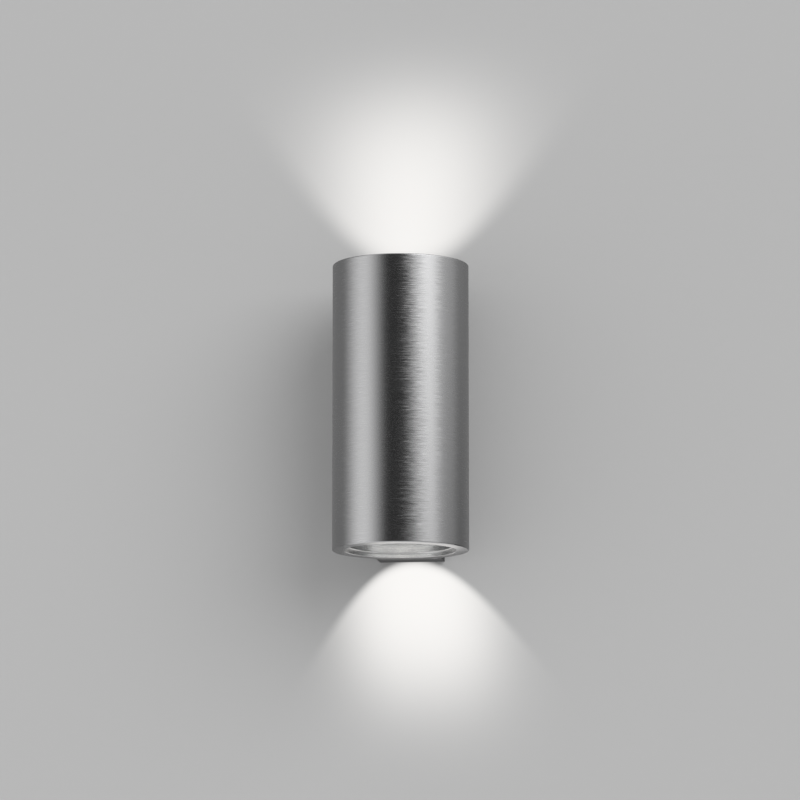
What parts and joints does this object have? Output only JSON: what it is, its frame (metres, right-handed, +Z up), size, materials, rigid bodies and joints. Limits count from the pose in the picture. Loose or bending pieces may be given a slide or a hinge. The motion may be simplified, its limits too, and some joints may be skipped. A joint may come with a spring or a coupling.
{
  "type": "tube wall light",
  "caption": "Short brushed aluminium tube on a narrow wall box, open at both ends, that throws one beam of light up and one down.",
  "frame": {"origin": "middle of the wall plate's back, on the wall, midway between the two slots for the wall screws", "axes": "+Z up along the tube, +Y into the wall, -Y out of the wall towards the room, +X to the right as seen from the room"},
  "size_m": [0.07, 0.085, 0.148],
  "materials": {
    "black_rubber": "moulded",
    "black_steel": "black oxide",
    "black_wire": "extruded",
    "blue_wire": "extruded",
    "board_green": "solder mask",
    "board_white": "white solder mask",
    "box_aluminium": "satin anodised",
    "brass_screws": "plain",
    "brown_wire": "extruded",
    "brushed_aluminium": "brushed round the tube, satin",
    "capacitor_sleeve": "shrink sleeve",
    "clear_glass": "clear, tempered",
    "connector_plastic": "moulded",
    "driver_plastic": "moulded",
    "ferrite": "sintered",
    "foam_rubber": "closed-cell foam",
    "green_yellow_wire": "extruded, striped",
    "phosphor": "cast silicone",
    "polished_aluminium": "bright spun",
    "red_wire": "extruded",
    "screw_steel": "zinc plated",
    "silicone": "moulded",
    "sink_aluminium": "milled",
    "thermal_rubber": "soft pad",
    "tinned_copper": "tinned",
    "turned_aluminium": "fine turned",
    "white_plastic": "moulded",
    "zinc_steel": "zinc plated"
  },
  "bodies": {
    "wall_mount": {"wall_plate": "zinc_steel", "plate_grommet": "black_rubber"},
    "lamp": {"block_screws": "black_steel", "bottom_cap_screws": "screw_steel", "box_bottom_cap": "box_aluminium", "box_channel": "box_aluminium", "box_screws": "screw_steel", "box_top_cap": "box_aluminium", "driver_board": "board_green", "driver_capacitors": "capacitor_sleeve", "driver_case": "driver_plastic", "driver_cover": "driver_plastic", "driver_input_block": "connector_plastic", "driver_lower_block": "connector_plastic", "driver_screws": "screw_steel", "driver_transformer": "ferrite", "driver_upper_block": "connector_plastic", "earth_lead": "green_yellow_wire", "earth_screw": "screw_steel", "earth_tag": "tinned_copper", "heat_sink_screws": "screw_steel", "left_lock_screw": "black_steel", "live_lead": "brown_wire", "lower_black_lead": "black_wire", "lower_heat_sink": "sink_aluminium", "lower_holder_screws": "screw_steel", "lower_led_board": "board_white", "lower_led_chip": "phosphor", "lower_led_holder": "white_plastic", "lower_red_lead": "red_wire", "lower_reflector": "polished_aluminium", "lower_thermal_pad": "thermal_rubber", "neutral_lead": "blue_wire", "right_lock_screw": "black_steel", "terminal_block": "connector_plastic", "terminal_screws": "brass_screws", "top_cap_screws": "screw_steel", "tube_grommet": "black_rubber", "tube_housing": "brushed_aluminium", "upper_black_lead": "black_wire", "upper_heat_sink": "sink_aluminium", "upper_holder_screws": "screw_steel", "upper_led_board": "board_white", "upper_led_chip": "phosphor", "upper_led_holder": "white_plastic", "upper_red_lead": "red_wire", "upper_reflector": "polished_aluminium", "upper_thermal_pad": "thermal_rubber", "wall_seal": "foam_rubber"},
    "upper_lens_cap": {"upper_lens": "clear_glass", "upper_lens_gasket": "silicone"},
    "upper_ring": {"upper_retaining_ring": "turned_aluminium"},
    "lower_lens_cap": {"lower_lens": "clear_glass", "lower_lens_gasket": "silicone"},
    "lower_ring": {"lower_retaining_ring": "turned_aluminium"}
  },
  "joints": [
    {"name": "lamp_release", "type": "slide", "parent": "wall_mount", "child": "lamp", "axis": [0, -1, 0], "range_m": [0, 0.02]},
    {"name": "upper_ring_travel", "type": "slide", "parent": "lamp", "child": "upper_lens_cap", "axis": [0, 0, 1], "range_m": [0, 0.006]},
    {"name": "upper_ring_turn", "type": "hinge", "parent": "upper_lens_cap", "child": "upper_ring", "pos_m": [0, -0.05, 0.0689], "axis": [0, 0, 1], "range_deg": [0, 1440]},
    {"name": "lower_ring_travel", "type": "slide", "parent": "lamp", "child": "lower_lens_cap", "axis": [0, 0, -1], "range_m": [0, 0.006]},
    {"name": "lower_ring_turn", "type": "hinge", "parent": "lower_lens_cap", "child": "lower_ring", "pos_m": [0, -0.05, -0.0689], "axis": [0, 0, -1], "range_deg": [0, 1440]}
  ],
  "couplings": [
    {"joint": "upper_ring_travel", "follows": "upper_ring_turn", "m_per_rad": 0.0002387},
    {"joint": "lower_ring_travel", "follows": "lower_ring_turn", "m_per_rad": 0.0002387}
  ]
}
